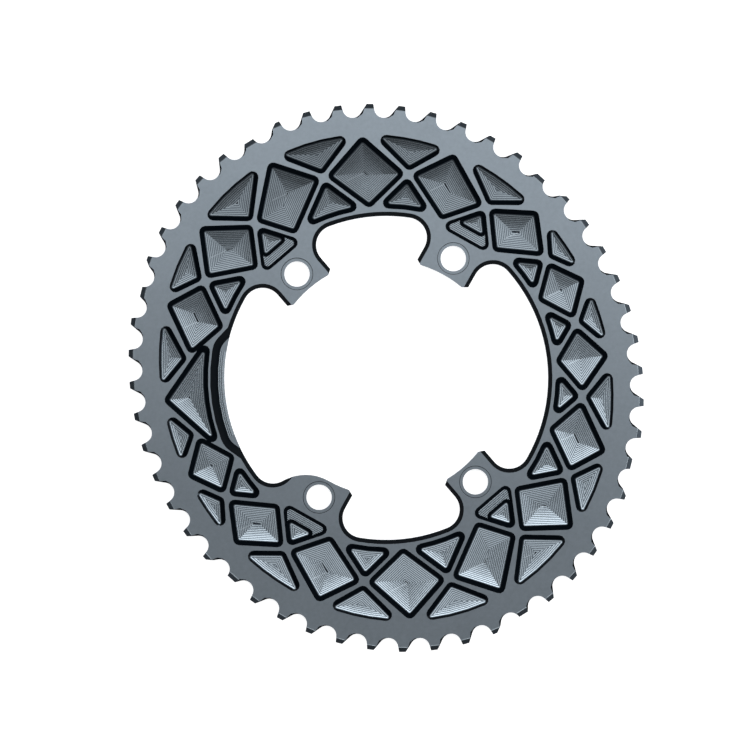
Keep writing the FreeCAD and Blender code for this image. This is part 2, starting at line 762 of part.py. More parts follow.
def opening_wire(size, growth, height):
    """Outline of the ring's opening with its four tabs, grown into the ring, at a height."""
    tabs = []
    for number, hole in enumerate(hole_directions(size), 1):
        before = TabSide(size, hole, getattr(size, f"tab_before_{number}"), -1, growth)
        if number == LOBED_TAB:
            after = LobeSide(size, hole, growth)
        else:
            after = TabSide(size, hole, getattr(size, f"tab_after_{number}"), 1, growth)
        tabs.append((before, after))
    edges = []
    for index, (before, after) in enumerate(tabs):
        edges += [tuple(reversed(edge)) for edge in reversed(before.edges())]
        middle = (before.arc_end + after.arc_end).normalize() * size.tab_radius
        edges.append((before.arc_end, middle, after.arc_end))
        edges += after.edges()
        following = tabs[(index + 1) % len(tabs)][0]
        start = direction_of(after.ring_end)
        spread = (start - direction_of(following.ring_end)) % 360
        ring_middle = polar(size.opening_radius + growth, start - spread / 2)
        edges.append((after.ring_end, ring_middle, following.ring_end))
    wire = Part.Wire([curve(points) for points in edges])
    wire.translate(Vector(0, 0, height))
    return wire


def opening_prism(size):
    """Cutter for the ring's opening, straight through."""
    face = Part.Face(opening_wire(size, 0, -1))
    return face.extrude(Vector(0, 0, size.ring_thickness + 2))


def opening_bevel(size):
    """Cutter for the sloping band along the opening's outer edge."""
    top = size.ring_thickness
    lowest = -OVERSHOOT * taper(size)
    low = opening_wire(size, lowest, top - size.edge_bevel / taper(size) - OVERSHOOT)
    high = opening_wire(size, bevel_reach(size), top + OVERSHOOT)
    return Part.makeLoft([low, high], True, True)


def add_shape(doc, name, shape):
    """A document object that holds a computed shape."""
    item = doc.addObject("Part::Feature", name)
    item.Shape = shape
    return item


def add_cut(doc, name, base, tool):
    """A document object that cuts one object out of another."""
    item = doc.addObject("Part::Cut", name)
    item.Base = base
    item.Tool = tool
    return item


def add_fuse(doc, name, parts):
    """A document object that joins several."""
    item = doc.addObject("Part::MultiFuse", name)
    item.Shapes = parts
    return item


def add_cylinder(doc, name, diameter, height, base):
    """A cylinder along Z, whose size and lowest height are expressions."""
    item = doc.addObject("Part::Cylinder", name)
    item.setExpression("Radius", f"({diameter}) / 2")
    item.setExpression("Height", height)
    item.setExpression("Placement.Base.z", base)
    return item


def bolt_hole_cutters(doc):
    """A through hole and a counterbore at each corner of the bolt rectangle."""
    cutters = []
    corners = ((-1, 1), (1, 1), (1, -1), (-1, -1))
    for number, (across, up) in enumerate(corners, 1):
        hole = add_cylinder(doc, f"bolt_hole_{number}", "Sizes.bolt_hole", "Sizes.ring_thickness + 2", "-1")
        seat = add_cylinder(
            doc,
            f"bolt_seat_{number}",
            "Sizes.bolt_seat",
            "Sizes.bolt_seat_depth + 1",
            "Sizes.ring_thickness - Sizes.bolt_seat_depth",
        )
        for item in (hole, seat):
            item.setExpression("Placement.Base.x", f"{across} * {HALF_CIRCLE} * sin({HALF_ANGLE})")
            item.setExpression("Placement.Base.y", f"{up} * {HALF_CIRCLE} * cos({HALF_ANGLE})")
        cutters += [hole, seat]
    return cutters


def spider_seat_cutter(doc):
    """Round recess on the back that thins the tabs where the crank's arms sit."""
    return add_cylinder(doc, "spider_seat", "2 * Sizes.spider_seat_radius", "Sizes.spider_seat_depth + 1", "-1")


def shift_cutters(doc, size, root):
    """Ramps in the web's back edge, and a socket for each shift pin."""
    edge = root.grown(-size.web_margin)
    cutters = []
    for number, angle in enumerate(shift_directions(size), 1):
        ramp = add_cylinder(doc, f"shift_ramp_{number}", "2 * Sizes.ramp_radius", "Sizes.ramp_depth + 1", "-1")
        far = edge.towards(angle).Length + size.ramp_radius - size.ramp_bite
        ramp.Placement.Base = polar(far, angle, -1)
        socket = add_cylinder(
            doc,
            f"pin_socket_{number}",
            "Sizes.pin_diameter",
            "Sizes.pin_sunk + Sizes.ramp_depth",
            "0",
        )
        socket.Placement.Base = pin_place(size, root, angle)
        cutters += [ramp, socket]
    return cutters


def pin_place(size, root, angle):
    """Centre of a shift pin on the ring's back plane."""
    return polar(root.towards(angle).Length - size.pin_inset, angle)


def add_shift_pin(doc, number, place):
    """A straight shift pin, pressed into the floor of its ramp."""
    body = doc.addObject("PartDesign::Body", f"shift_pin_{number}")
    plane = next(item for item in body.Origin.OriginFeatures if item.Role == "XZ_Plane")
    sketch = body.newObject("Sketcher::SketchObject", f"pin_profile_{number}")
    sketch.AttachmentSupport = (plane, [""])
    sketch.MapMode = "FlatFace"
    outline = ((0, -1), (1, -1), (1, 1), (0, 1))
    points = [Vector(x, y, 0) for x, y in outline]
    count = len(points)
    for index in range(count):
        sketch.addGeometry(Part.LineSegment(points[index], points[(index + 1) % count]), False)
    for index in range(count):
        sketch.addConstraint(Sketcher.Constraint("Coincident", index, 2, (index + 1) % count, 1))
    for index, way in enumerate(("Horizontal", "Vertical", "Horizontal", "Vertical")):
        sketch.addConstraint(Sketcher.Constraint(way, index))
    sketch.addConstraint(Sketcher.Constraint("PointOnObject", 0, 1, -2))
    dimensions = (
        ("radius", "DistanceX", (-1, 1, 1, 2), "Sizes.pin_diameter / 2"),
        ("proud", "DistanceY", (0, 2, -1, 1), "Sizes.pin_proud"),
        ("sunk", "DistanceY", (-1, 1, 1, 2), "Sizes.pin_sunk"),
    )
    for name, kind, places, expression in dimensions:
        index = sketch.addConstraint(Sketcher.Constraint(kind, *places, 1.0))
        sketch.renameConstraint(index, name)
        sketch.setExpression(f"Constraints.{name}", expression)
    turned = body.newObject("PartDesign::Revolution", f"pin_turned_{number}")
    turned.Profile = sketch
    turned.ReferenceAxis = (sketch, ["V_Axis"])
    turned.Angle = 360.0
    body.Tip = turned
    body.setExpression("Placement.Base.z", "Sizes.ramp_depth")
    body.Placement.Base = place
    return body


def build(doc):
    """Make every piece, and return the finished ones."""
    size = add_sheet(doc)
    pitch, rollers = pitch_oval(size)
    root = pitch.grown(-size.seat_radius)
    teeth = make_teeth(size, rollers)

    plate = add_shape(doc, "toothed_plate", toothed_plate(size, rollers, teeth))
    bevelled = add_cut(doc, "bevelled_teeth", plate, add_shape(doc, "tip_bevels", tooth_bevels(size, teeth)))
    reliefs = add_shape(doc, "flank_reliefs", flank_reliefs(size, rollers, teeth))
    relieved = add_cut(doc, "relieved_teeth", bevelled, reliefs)
    blank = add_fuse(doc, "blank", [add_shape(doc, "web", web_disc(size, root)), relieved])

    opened = add_cut(doc, "opened", blank, add_shape(doc, "opening", opening_prism(size)))
    edged = add_cut(doc, "edge_bevelled", opened, add_shape(doc, "inner_edge_bevel", opening_bevel(size)))
    notched = add_cut(doc, "notched", edged, add_shape(doc, "crank_arm_notch", arm_notch(size)))
    drilled = add_cut(doc, "drilled", notched, add_fuse(doc, "bolt_holes", bolt_hole_cutters(doc)))
    back = add_fuse(doc, "back_cuts", [spider_seat_cutter(doc), *shift_cutters(doc, size, root)])
    finished = add_cut(doc, "back_finished", drilled, back)
    pockets = add_shape(doc, "pockets", Part.makeCompound(web_pockets(size, root)))
    ring = add_cut(doc, "pocketed", finished, pockets)
    ring.Label = "chainring"

    pins = []
    for number, angle in enumerate(shift_directions(size), 1):
        pin = add_shift_pin(doc, number, pin_place(size, root, angle))
        pin.Label = f"shift_pin_{number}"
        pins.append(pin)
    return [ring, *pins]


def check(doc, pieces):
    """Stop if any object failed, or if a piece isn't one valid solid."""
    for item in doc.Objects:
        if "Invalid" in item.State or "Error" in item.State:
            raise RuntimeError(f"{item.Label} failed: {item.State}")
    for piece in pieces:
        shape = piece.Shape
        if shape.isNull() or not shape.isValid() or len(shape.Solids) != 1:
            raise RuntimeError(f"{piece.Label} is not one valid solid")
        print(f"{piece.Label}: {shape.Volume:.1f} mm3, {len(shape.Faces)} faces")


def main():
    """Build the ring and write one file for each piece."""
    doc = FreeCAD.newDocument("chainring")
    pieces = build(doc)
    doc.recompute()
    check(doc, pieces)
    os.makedirs("parts", exist_ok=True)
    for piece in pieces:
        piece.Shape.exportStep(f"parts/{piece.Label}.step")


main()
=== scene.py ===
import math

import bmesh
import bpy
from bpy.props import FloatProperty, FloatVectorProperty, IntProperty, PointerProperty
from bpy.types import Operator, Panel, PropertyGroup
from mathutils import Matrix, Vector


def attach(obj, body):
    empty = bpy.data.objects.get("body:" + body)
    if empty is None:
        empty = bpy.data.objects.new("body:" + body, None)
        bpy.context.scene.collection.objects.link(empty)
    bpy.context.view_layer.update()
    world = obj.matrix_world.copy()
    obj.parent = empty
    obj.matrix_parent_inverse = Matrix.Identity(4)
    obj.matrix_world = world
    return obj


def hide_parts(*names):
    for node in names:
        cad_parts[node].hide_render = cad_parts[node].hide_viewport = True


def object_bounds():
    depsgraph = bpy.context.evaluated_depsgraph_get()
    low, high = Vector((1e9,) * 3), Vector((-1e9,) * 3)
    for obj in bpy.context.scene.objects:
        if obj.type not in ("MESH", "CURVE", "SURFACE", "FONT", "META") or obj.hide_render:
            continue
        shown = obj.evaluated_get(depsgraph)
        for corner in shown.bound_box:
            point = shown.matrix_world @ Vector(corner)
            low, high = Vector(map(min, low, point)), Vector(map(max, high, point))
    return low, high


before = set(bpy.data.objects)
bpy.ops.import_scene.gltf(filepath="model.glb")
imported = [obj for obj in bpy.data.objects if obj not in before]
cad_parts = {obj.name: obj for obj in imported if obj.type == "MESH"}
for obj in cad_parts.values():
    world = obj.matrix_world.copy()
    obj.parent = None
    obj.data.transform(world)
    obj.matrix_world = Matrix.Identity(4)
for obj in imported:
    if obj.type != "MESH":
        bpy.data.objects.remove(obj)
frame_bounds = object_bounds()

bl_info = {
    "name": "Machined Chainring",
    "version": (1, 0, 0),
    "blender": (4, 5, 0),
    "location": "View3D > Sidebar > Chainring",
    "description": "Builds the visual model of an oval chainring round its CAD frame",
    "category": "Object",
}

MM = 0.001
RING_NODE = "chainring"
PIN_NODES = "shift_pin"

# Places of the ring's materials. The painted shade slot is near-black for cuts, bevels and the floors'
# middle, and the tip slot darkens the tooth tips' bevels as painted shade.
FACE_SLOT, PAINTED_SHADE_SLOT, FLOOR_SLOT, LINE_SLOT, TIP_SLOT = range(5)

# Points of the CAD mesh that lie nearer than this are one.
WELD = 2e-6

# Places that differ by less than this lie on one level, or equally far from the ring's axis.
SAME_LEVEL = 0.02 * MM

# Least upward part of a face's normal on levels, pocket floors, the tooth tips' bevels and other cuts.
LEVEL_UP = 0.9999
FLOOR_UP = 0.96
TIP_UP = 0.9
CUT_UP = 0.2

# Pocket floors and the notch's ledge lie below these shares of the ring's height.
FLOOR_SHARE = 0.5
LEDGE_SHARE = 0.25

# Sides of an outline that bend by less than this are one straight side.
STRAIGHT = 0.003

# Faces of the level beside a bolt tab lie this nearly in the tab's direction.
TAB_SHARE = 0.85

# Passes of the cutter along the ledge's wall, and the digits that tell the wall's corners apart.
LEDGE_PASSES = 2
ANGLE_DIGITS = 4

# A metal's tone is a least value and what two noises add. The mottle is that much finer than the slow one.
LEAST_TONE = 0.84
SLOW_TONE = 0.12
MOTTLE_TONE = 0.2
MOTTLE_SCALE = 25
TONE_DETAIL = 2.0

# A metal's finest grain, and how far it takes the roughness either way.
GRAIN_DETAIL = 3.0
GRAIN_DEPTH = 0.02 * MM
GRAIN_ROUGH = 0.05

# Scales per metre of the finest grain of anodised, machined and turned metal.
ANODISED_GRAIN = 9000.0
MACHINED_GRAIN = 6000.0
TURNED_GRAIN = 4000.0

# The white floor under the ring.
GROUND_SIZE = 8
GROUND_GAP = 0.2 * MM
GROUND_COLOUR = (0.8, 0.8, 0.8, 1)
WHITE = (1, 1, 1, 1)

# How far the camera sees, in metres.
CAMERA_REACH = 100


class RingSettings(PropertyGroup):
    """Shape of what the cutter leaves in the pockets."""

    pitch: FloatProperty(
        name="Contour pitch", description="Distance between the cutter's passes", default=0.72 * MM,
        unit="LENGTH",
    )
    slope: FloatProperty(
        name="Floor slope", description="How steeply the floors fall near their sides",
        default=math.radians(10), subtype="ANGLE",
    )
    middle_slope: FloatProperty(
        name="Middle slope", description="The same in their middle", default=math.radians(3), subtype="ANGLE"
    )
    lip: FloatProperty(
        name="Lip", description="Width of the steep edge at the walls' foot", default=0.22 * MM, unit="LENGTH"
    )
    lip_slope: FloatProperty(
        name="Lip slope", description="Slope of that edge", default=math.radians(25), subtype="ANGLE"
    )
    scallop: FloatProperty(
        name="Scallop depth", description="Depth of the hollow that each pass leaves", default=0.014 * MM,
        unit="LENGTH",
    )
    strips: IntProperty(name="Strips", description="Flat strips across each pass", default=4, min=2)
    link_turn: FloatProperty(
        name="Link direction", description="Direction of the line where the cutter changes passes",
        default=math.radians(199), subtype="ANGLE",
    )
    link_width: FloatProperty(
        name="Link width", description="Width of that line", default=0.3 * MM, unit="LENGTH"
    )
    link_share: FloatProperty(
        name="Link length", description="Its length, as a share of the distance to the nearest side",
        default=0.85,
    )
    link_floor: FloatProperty(
        name="Least floor", default=5 * MM, unit="LENGTH",
        description="Floors whose middle lies nearer to a side have no such line or dark middle",
    )
    # The dark spot: a real mark where the last pass ends, painted near-black as shade.
    middle_shade_reach: FloatProperty(
        name="Middle", description="Half the width of the dark spot that the last pass leaves",
        default=0.24 * MM, unit="LENGTH",
    )
    hole_angle: FloatProperty(
        name="Bolt direction", description="Direction of each bolt hole from the Y axis",
        default=math.radians(35), subtype="ANGLE",
    )
    step_depth: FloatProperty(
        name="Step depth", description="Depth of the upper level beside the bolt tabs", default=1.2 * MM,
        unit="LENGTH",
    )
    # The dark round is painted shade on flat faces, where a shaded fillet would be.
    step_rim_shade: FloatProperty(
        name="Step rim", description="Width of the dark round along that level's edge", default=0.45 * MM,
        unit="LENGTH",
    )
    bolt_radius: FloatProperty(
        name="Bolt radius", description="From the middle to each bolt hole", default=55 * MM, unit="LENGTH"
    )
    seat_reach: FloatProperty(
        name="Seat reach", description="Edges this near to a bolt hole are its counterbore's",
        default=6.6 * MM, unit="LENGTH",
    )
    # The bevel is real geometry; its near-black colour is painted shade.
    seat_bevel: FloatProperty(
        name="Seat bevel", description="Bevel round the counterbores", default=0.18 * MM, unit="LENGTH"
    )
    # The bevel at the tooth tips' edge is real; its bright floor metal is a painted highlight.
    tip_highlight_edge: FloatProperty(
        name="Tip edge", description="Half the width of the bare edge where the tooth tips' bevels start",
        default=0.12 * MM, unit="LENGTH",
    )
    crease: FloatProperty(
        name="Crease", description="Edges bent by more than this are sharp", default=math.radians(30),
        subtype="ANGLE",
    )
    floor_crease: FloatProperty(
        name="Floor crease", description="The same in the pocket floors", default=math.radians(5.5),
        subtype="ANGLE",
    )


def colour(name, description, value):
    """A colour property."""
    return FloatVectorProperty(
        name=name, description=description, default=value, subtype="COLOR", min=0, max=1
    )


def share(name, description, value):
    """A property from 0 to 1."""
    return FloatProperty(name=name, description=description, default=value, min=0, max=1, subtype="FACTOR")


class FinishSettings(PropertyGroup):
    """Colours and gloss of the metal, with painted shade and painted light among them."""

    face_colour: colour("Face", "Anodised outer face", (0.205, 0.241, 0.275))
    face_rough: share("Face roughness", "Satin of the outer face", 0.4)
    # Painted light: the face's colour gets lighter along Y, towards the upper lamp.
    face_painted_light: FloatProperty(
        name="Face fade", description="How much lighter the face gets with each millimetre along Y",
        default=0.0008,
    )
    # Painted shade: the cuts are the same grey anodised metal, coloured near-black here to stand in for their
    # shade.
    cut_shade_colour: colour("Dark cuts", "Pocket walls and bevels", (0.0015, 0.0035, 0.006))
    cut_shade_rough: share("Dark roughness", "Gloss of the dark cuts", 0.4)
    # Painted shade: the tooth tips' bevels are coloured much darker than the face.
    tip_shade_colour: colour("Tooth tips", "Bevels of the tooth tips", (0.05, 0.063, 0.077))
    tip_rough: share("Tip roughness", "Gloss of these bevels", 0.35)
    floor_colour: colour("Floors", "Pocket floors", (0.37, 0.43, 0.48))
    line_colour: colour("Floor lines", "Ridges between the cutter's passes", (0.1, 0.125, 0.15))
    floor_rough: share("Floor roughness", "Gloss of the pocket floors", 0.27)
    # Painted shade: the floors' colour gets darker along Y and lighter towards the other end.
    floor_painted_shade: FloatProperty(
        name="Floor fade", description="How much darker the floors get with each millimetre along Y",
        default=0.0069,
    )
    steel_colour: colour("Steel", "Shift pins", (0.62, 0.61, 0.6))
    steel_rough: share("Steel roughness", "Gloss of the shift pins", 0.3)


class StageSettings(PropertyGroup):
    """Camera, lamps and floor."""

    turn: FloatProperty(
        name="Ring's turn", description="How far the ring is turned in the picture",
        default=math.radians(5.65), subtype="ANGLE",
    )
    width: FloatProperty(
        name="Picture width", description="Width of the picture at the outer face", default=302.98 * MM,
        unit="LENGTH",
    )
    shift_x: FloatProperty(
        name="Camera right", description="Camera to the right of the ring's centre", default=-3.49 * MM,
        unit="LENGTH",
    )
    shift_y: FloatProperty(
        name="Camera up", description="Camera above the ring's centre in the picture", default=0.16 * MM,
        unit="LENGTH",
    )
    lens: FloatProperty(name="Lens", description="Focal length in millimetres", default=200.0)
    sensor: FloatProperty(name="Sensor", description="Sensor width in millimetres", default=36.0)
    world: share("World", "Brightness of the world", 0.16)
    main_power: FloatProperty(name="Main power", description="Upper lamp in watts", default=2.2)
    main_depth: FloatProperty(
        name="Main depth", description="Upper lamp's short side", default=0.42, unit="LENGTH"
    )
    main_place: FloatProperty(
        name="Main place", description="From the middle to the upper lamp's centre", default=0.22,
        unit="LENGTH",
    )
    low_power: FloatProperty(name="Low power", description="Lower lamp in watts", default=0.5)
    low_depth: FloatProperty(
        name="Low depth", description="Lower lamp's short side", default=0.26, unit="LENGTH"
    )
    low_place: FloatProperty(
        name="Low place", description="From the middle to the lower lamp's centre", default=-0.27,
        unit="LENGTH",
    )
    side_power: FloatProperty(name="Side power", description="Lamp on the right in watts", default=1.1)
    side_size: FloatProperty(name="Side size", description="Sides of that lamp", default=0.3, unit="LENGTH")
    side_place: FloatProperty(
        name="Side place", description="From the middle to that lamp's centre", default=0.66, unit="LENGTH"
    )
    lamp_shift: FloatProperty(
        name="Lamp shift", description="Upper and lower lamp to the right of the middle", default=0.12,
        unit="LENGTH",
    )
    lamp_width: FloatProperty(
        name="Lamp width", description="Long side of the upper and the lower lamp", default=1.0, unit="LENGTH"
    )
    lamp_height: FloatProperty(
        name="Lamp height", description="These lamps above the floor", default=0.6, unit="LENGTH"
    )
    lamp_turn: FloatProperty(
        name="Lamps' turn", description="Direction of these lamps from the picture's top",
        default=math.radians(-6), subtype="ANGLE",
    )
    rim_count: IntProperty(name="Rim lamps", description="Upright lamps round the ring", default=4, min=1)
    rim_power: FloatProperty(name="Rim power", description="Each of them in watts", default=1.0)
    rim_place: FloatProperty(
        name="Rim place", description="From the ring's centre to each of them", default=0.85, unit="LENGTH"
    )
    rim_rise: FloatProperty(
        name="Rim rise", description="Their centres above the floor", default=0.36, unit="LENGTH"
    )
    rim_width: FloatProperty(name="Rim width", description="Width of each", default=1.1, unit="LENGTH")
    rim_height: FloatProperty(name="Rim height", description="Height of each", default=0.35, unit="LENGTH")
    floor_glow: share("Floor glow", "Light of its own that the floor shows to the camera", 0.8)


class Value:
    """A shader socket that takes part in sums."""

    def __init__(self, tree, socket):
        self.tree = tree
        self.socket = socket

    def math(self, operation, first, second):
        """Value of a maths node."""
        node = self.tree.nodes.new("ShaderNodeMath")
        node.operation = operation
        for slot, item in zip(node.inputs, (first, second)):
            if isinstance(item, Value):
                self.tree.links.new(item.socket, slot)
            else:
                slot.default_value = item
        return Value(self.tree, node.outputs[0])

    def __add__(self, other):
        return self.math("ADD", self, other)

    def __radd__(self, other):
        return self.math("ADD", other, self)

    def __sub__(self, other):
        return self.math("SUBTRACT", self, other)

    def __rsub__(self, other):
        return self.math("SUBTRACT", other, self)

    def __mul__(self, other):
        return self.math("MULTIPLY", self, other)

    def __rmul__(self, other):
        return self.math("MULTIPLY", other, self)

    def __truediv__(self, other):
        return self.math("DIVIDE", self, other)

    def __rtruediv__(self, other):
        return self.math("DIVIDE", other, self)


class Shading:
    """One material under construction."""

    def __init__(self, name):
        self.material = bpy.data.materials.new(name)
        self.material.use_nodes = True
        self.tree = self.material.node_tree
        self.tree.nodes.clear()
        self.output = self.tree.nodes.new("ShaderNodeOutputMaterial")

    def node(self, kind, settings=None, values=None):
        """A node of any type, with its settings and the values or links of its inputs."""
        node = self.tree.nodes.new(kind)
        for name, setting in (settings or {}).items():
            setattr(node, name, setting)
        for name, value in (values or {}).items():
            slot = node.inputs[name]
            if isinstance(value, Value):
                self.tree.links.new(value.socket, slot)
            else:
                slot.default_value = value
        return node

    def out(self, node, name):
        """One output of a node."""
        return Value(self.tree, node.outputs[name])

    def finish(self, shader):
        """Use a shader as the material's surface."""
        self.tree.links.new(shader.socket, self.output.inputs["Surface"])
        return self.material

    def place(self):
        """Position on the piece, in its own frame."""
        return self.out(self.node("ShaderNodeTexCoord"), "Object")

    def noise(self, place, scale, detail):
        """Noise from 0 to 1, with a scale per metre."""
        node = self.node("ShaderNodeTexNoise", None, {"Vector": place, "Scale": scale, "Detail": detail})
        return self.out(node, "Fac")

    def tinted(self, base, factor):
        """A colour made lighter or darker by a factor."""
        same = self.node("ShaderNodeCombineXYZ", None, {"X": factor, "Y": factor, "Z": factor})
        grey = self.out(same, "Vector")
        node = self.node("ShaderNodeVectorMath", {"operation": "MULTIPLY"}, {0: tuple(base), 1: grey})
        return self.out(node, "Vector")


def metal(name, base, rough, metallic, grain, coarse, bump, specular=0.5, painted_light=None):
    """A metal with fine grain and a slow change of tone, which can also take painted light or shade that
    changes along one direction.
    """
    shading = Shading(name)
    place = shading.place()
    fine = shading.noise(place, grain, GRAIN_DETAIL)
    slow = shading.noise(place, coarse, TONE_DETAIL)
    mottle = shading.noise(place, coarse * MOTTLE_SCALE, TONE_DETAIL)
    tone = LEAST_TONE + SLOW_TONE * slow + MOTTLE_TONE * mottle
    # Painted light or shade: the tone changes steadily along one direction.
    if painted_light is not None:
        node = shading.node("ShaderNodeVectorMath", {"operation": "DOT_PRODUCT"}, {0: place, 1: tuple(painted_light)})
        tone = tone + shading.out(node, "Value")
    roughness = rough - GRAIN_ROUGH + 2 * GRAIN_ROUGH * fine
    bump_node = shading.node(
        "ShaderNodeBump", None, {"Height": fine, "Strength": bump, "Distance": GRAIN_DEPTH}
    )
    principled = shading.node(
        "ShaderNodeBsdfPrincipled",
        None,
        {
            "Base Color": shading.tinted(base, tone),
            "Roughness": roughness,
            "Metallic": metallic,
            "Specular IOR Level": specular,
            "Normal": shading.out(bump_node, "Normal"),
        },
    )
    return shading.finish(shading.out(principled, "BSDF"))


def clip(points, normal, limit):
    """The part of a convex outline where normal . point >= limit."""
    kept = []
    for index, point in enumerate(points):
        before = points[index - 1]
        high = normal.dot(point) - limit
        low = normal.dot(before) - limit
        if (high >= 0) != (low >= 0):
            kept.append(before + (point - before) * (low / (low - high)))
        if high >= 0:
            kept.append(point)
    return kept


class Side:
    """One straight side of a floor, with the floor on its left."""

    def __init__(self, start, end):
        along = (end - start).normalized()
        self.along = along
        self.normal = Vector((-along.y, along.x))
        self.offset = self.normal.dot(start)

    def distance(self, point):
        """How far inside this side a point lies."""
        return self.normal.dot(point) - self.offset

    def nearer(self, points, other):
        """The part of an outline that lies nearer to this side than to another one."""
        return clip(points, other.normal - self.normal, other.offset - self.offset)


class FloorPlan:
    """Outline of a pocket floor, split where the nearest side changes."""

    def __init__(self, loop):
        self.loop = loop
        count = len(loop)
        sides = [Side(loop[index], loop[(index + 1) % count]) for index in range(count)]
        # Hollow sides end at a corner that is bent inwards. Plain sides have no such corner.
        self.plain = []
        self.hollow = []
        for index, side in enumerate(sides):
            bend_before = sides[index - 1].along.cross(side.along)
            bend_after = side.along.cross(sides[(index + 1) % count].along)
            if min(bend_before, bend_after) < 0:
                self.hollow.append(side)
            else:
                self.plain.append(side)

    def cells(self):
        """Each nearest side with the outline of its part of the floor."""
        low = Vector((min(p.x for p in self.loop), min(p.y for p in self.loop)))
        high = Vector((max(p.x for p in self.loop), max(p.y for p in self.loop)))
        box = [low, Vector((high.x, low.y)), high, Vector((low.x, high.y))]
        found = []
        for pick in self.hollow or [None]:
            area = box
            for other in self.hollow:
                if other is not pick:
                    area = other.nearer(area, pick)
            sides = self.plain + ([pick] if pick else [])
            for side in sides:
                area = clip(area, side.normal, side.offset)
            for side in sides:
                cell = area
                for other in sides:
                    if other is not side:
                        cell = side.nearer(cell, other)
                if len(cell) > 2:
                    found.append((side, cell))
        return found


class FloorProfile:
    """How deep a pocket floor lies at a distance from its nearest side."""

    def __init__(self, settings, widest):
        self.lip = min(settings.lip, widest / 2)
        self.lip_fall = math.tan(settings.lip_slope)
        self.fall = math.tan(settings.slope)
        self.bend = (self.fall - math.tan(settings.middle_slope)) / (2 * (widest - self.lip))
        self.pitch = settings.pitch
        self.scallop = settings.scallop
        self.strips = settings.strips

    def depth(self, inside):
        """Depth below the walls' foot."""
        if inside <= self.lip:
            return inside * self.lip_fall
        run = inside - self.lip
        phase = (run / self.pitch) % 1
        hollow = 4 * self.scallop * phase * (1 - phase)
        return self.lip * self.lip_fall + run * self.fall - run * run * self.bend + hollow

    def corners(self, outline, side):
        """An outline's corners with their depth."""
        return [(point.x, point.y, self.depth(max(side.distance(point), 0))) for point in outline]

    def bands(self, deepest):
        """Start and end of each strip, and whether it lies beside a ridge between two passes."""
        step = self.pitch / self.strips
        found = [(0, self.lip, False)]
        number = 0
        while self.lip + number * step < deepest:
            start = self.lip + number * step
            place = number % self.strips
            found.append((start, start + step, place in (0, self.strips - 1)))
            number += 1
        return found


class LinkMark:
    """The light line across a floor where the cutter went from one pass to the next."""

    def __init__(self, settings, middle, widest):
        self.along = Vector((math.cos(settings.link_turn), math.sin(settings.link_turn)))
        self.across = Vector((-self.along.y, self.along.x))
        self.start = self.along.dot(middle)
        self.end = self.start + settings.link_share * widest
        self.place = self.across.dot(middle)
        self.half = settings.link_width / 2 if widest > settings.link_floor else 0

    def parts(self, outline):
        """An outline's parts beside and on the line, and whether each is on it."""
        limits = (
            (self.across, self.place + self.half),
            (-self.across, self.half - self.place),
            (self.along, self.end),
            (-self.along, -self.start),
        )
        found = []
        inside = outline
        for normal, limit in limits:
            found.append((clip(inside, normal, limit), False))
            inside = clip(inside, -normal, -limit)
        if len(inside) < 3:
            return [(outline, False)]
        found.append((inside, True))
        return [(part, marked) for part, marked in found if len(part) > 2]


def floor_strips(plan, settings):
    """Corners of the strips that the cutter leaves, with their depth, and the material of each."""
    cells = plan.cells()
    widest, middle = max(
        ((side.distance(point), point) for side, cell in cells for point in cell), key=lambda item: item[0]
    )
    profile = FloorProfile(settings, widest)
    mark = LinkMark(settings, middle, widest)
    spot = widest - settings.middle_shade_reach if widest > settings.link_floor else widest
    strips = []
    for side, cell in cells:
        deepest = max(side.distance(point) for point in cell)
        for start, end, dark in profile.bands(min(deepest, spot)):
            end = min(end, spot)
            strip = clip(cell, side.normal, side.offset + start)
            strip = clip(strip, -side.normal, -(side.offset + end))
            if len(strip) < 3:
                continue
            for part, marked in mark.parts(strip):
                slot = LINE_SLOT if dark and not marked else FLOOR_SLOT
                strips.append((profile.corners(part, side), slot))
        # The floor's middle, where the last pass ends, is painted near-black as shade.
        rest = clip(cell, side.normal, side.offset + spot)
        if deepest > spot and len(rest) > 2:
            strips.append((profile.corners(rest, side), PAINTED_SHADE_SLOT))
    return strips


def islands(faces):
    """Groups of faces that touch one another."""
    # A dict keeps its order, so that the mesh comes out the same each time. A set of faces doesn't.
    left = dict.fromkeys(faces)
    groups = []
    while left:
        group = []
        stack = [left.popitem()[0]]
        while stack:
            face = stack.pop()
            group.append(face)
            for edge in face.edges:
                for other in edge.link_faces:
                    if other in left:
                        del left[other]
                        stack.append(other)
        groups.append(group)
    return groups


def round_angle(point):
    """Direction of a point from the ring's axis, from 0 to a full turn."""
    return math.atan2(point.y, point.x) % math.tau


def outline(group):
    """A group's corners, anticlockwise and without those on a straight side, and the height of its rim."""
    members = set(group)
    following = {}
    for face in group:
        for loop in face.loops:
            if all(other is face or other not in members for other in loop.edge.link_faces):
                following[loop.vert] = loop.link_loop_next.vert
    start = next(iter(following))
    verts = [start]
    while following[verts[-1]] is not start:
        verts.append(following[verts[-1]])
    corners = []
    for index, vert in enumerate(verts):
        before = (vert.co - verts[index - 1].co).xy.normalized()
        after = (verts[(index + 1) % len(verts)].co - vert.co).xy.normalized()
        if abs(before.cross(after)) > STRAIGHT:
            corners.append(vert.co.xy.copy())
    return corners, start.co.z


